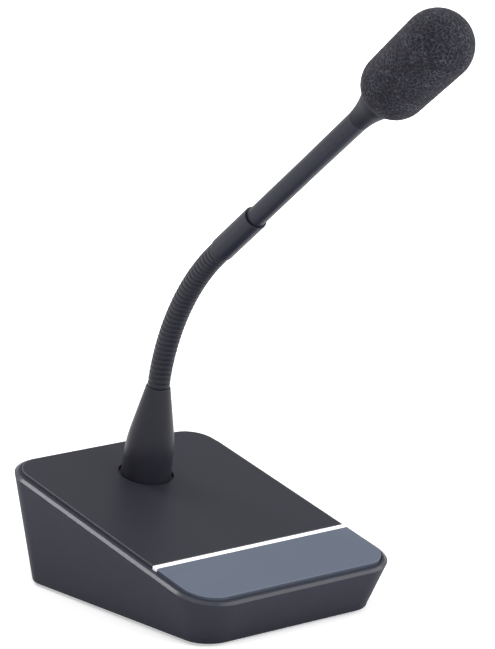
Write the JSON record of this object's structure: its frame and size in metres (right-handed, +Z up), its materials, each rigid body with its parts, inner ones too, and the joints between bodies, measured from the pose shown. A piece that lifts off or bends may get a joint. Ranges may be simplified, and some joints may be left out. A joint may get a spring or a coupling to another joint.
{
  "type": "desk microphone",
  "caption": "Desk paging microphone: wedge base with a wide hinged talk bar and a white light bar, tapered collar, ribbed flexible neck, slim tube and foam windscreen.",
  "frame": {"origin": "on the desk under the middle of the base's foot outline, on the centre rubber foot", "axes": "+X to the right across the base, -Y to the front where the talk bar is, +Z up from the desk"},
  "size_m": [0.12, 0.2575, 0.2942],
  "materials": {
    "housing": "satin charcoal",
    "plate": "satin charcoal, anodised",
    "bar": "matt blue-grey",
    "light": "opal white",
    "collar": "satin black",
    "neck": "satin black, coated",
    "tube": "satin black, coated",
    "foam": "open-cell foam",
    "rubber": "matt",
    "steel": "plain",
    "bare_metal": "plain",
    "brass": "plain",
    "board": "solder mask",
    "lamp": "clear",
    "black": "matt",
    "cream": "matt",
    "red": "matt"
  },
  "bodies": {
    "base": {"housing": "housing", "base_plate": "steel", "rubber_feet": "rubber", "base_screws": "steel", "ballast": "steel", "top_plate": "plate", "plate_nuts": "steel", "light_bar": "light", "light_board": "board", "light_leds": "lamp", "light_screws": "steel", "hinge_pin": "steel", "talk_springs": "steel", "talk_switch": "black", "main_board": "board", "board_standoffs": "brass", "board_screws": "steel", "board_chips": "black", "board_capacitors": "black", "board_connectors": "cream", "jack_socket": "black", "jack_nut": "steel", "collar": "collar", "collar_washer": "steel", "collar_nut": "steel", "neck_section_01": "neck"},
    "talk_bar": {"talk_bar": "bar"},
    "switch_plunger": {"switch_plunger": "red"},
    "neck_02": {"neck_section_02": "neck"},
    "neck_03": {"neck_section_03": "neck"},
    "neck_04": {"neck_section_04": "neck"},
    "neck_05": {"neck_section_05": "neck"},
    "neck_06": {"neck_section_06": "neck"},
    "neck_07": {"neck_section_07": "neck"},
    "neck_08": {"neck_section_08": "neck"},
    "head": {"neck_section_09": "neck", "neck_sleeve": "tube", "neck_tube": "tube", "head_housing": "tube", "capsule_boot": "rubber", "capsule": "bare_metal", "head_grille": "black", "mic_lead": "rubber", "windscreen": "foam"}
  },
  "joints": [
    {"name": "talk_press", "type": "hinge", "parent": "base", "child": "talk_bar", "pos_m": [0, -0.04493, 0.02429], "axis": [1, 0, 0], "range_deg": [0, 3.5], "stiffness_Nm_per_rad": 0.6, "springref_deg": -3.44, "deforming": ["talk_springs"]},
    {"name": "plunger_press", "type": "slide", "parent": "base", "child": "switch_plunger", "axis": [0, 0, -1], "range_m": [0, 0.0012]},
    {"name": "neck_bend_1", "type": "hinge", "parent": "base", "child": "neck_02", "pos_m": [0, 0.02829, 0.101], "axis": [1, 0, 0], "range_deg": [-10, 7.5]},
    {"name": "neck_sway_1", "type": "hinge", "parent": "neck_02", "child": "neck_03", "pos_m": [0, 0.02495, 0.11133], "axis": [0, 0.9371, 0.3492], "range_deg": [-10, 10]},
    {"name": "neck_bend_2", "type": "hinge", "parent": "neck_03", "child": "neck_04", "pos_m": [0, 0.02071, 0.12133], "axis": [1, 0.0009, 0.0004], "range_deg": [-10, 7.5]},
    {"name": "neck_sway_2", "type": "hinge", "parent": "neck_04", "child": "neck_05", "pos_m": [0, 0.01562, 0.13092], "axis": [0, 0.8617, 0.5074], "range_deg": [-10, 10]},
    {"name": "neck_bend_3", "type": "hinge", "parent": "neck_05", "child": "neck_06", "pos_m": [0, 0.0097, 0.14003], "axis": [1, 0.0008, 0.0006], "range_deg": [-10, 7.5]},
    {"name": "neck_sway_3", "type": "hinge", "parent": "neck_06", "child": "neck_07", "pos_m": [0, 0.00301, 0.14859], "axis": [0, 0.76, 0.6499], "range_deg": [-10, 10]},
    {"name": "neck_bend_4", "type": "hinge", "parent": "neck_07", "child": "neck_08", "pos_m": [0, -0.0044, 0.15652], "axis": [1, 0.0007, 0.0007], "range_deg": [-10, 7.5]},
    {"name": "neck_sway_4", "type": "hinge", "parent": "neck_08", "child": "head", "pos_m": [0, -0.01248, 0.16378], "axis": [0, 0.6349, 0.7726], "range_deg": [-10, 10]}
  ],
  "couplings": [
    {"joint": "plunger_press", "follows": "talk_press", "m_per_rad": 0.015158}
  ]
}
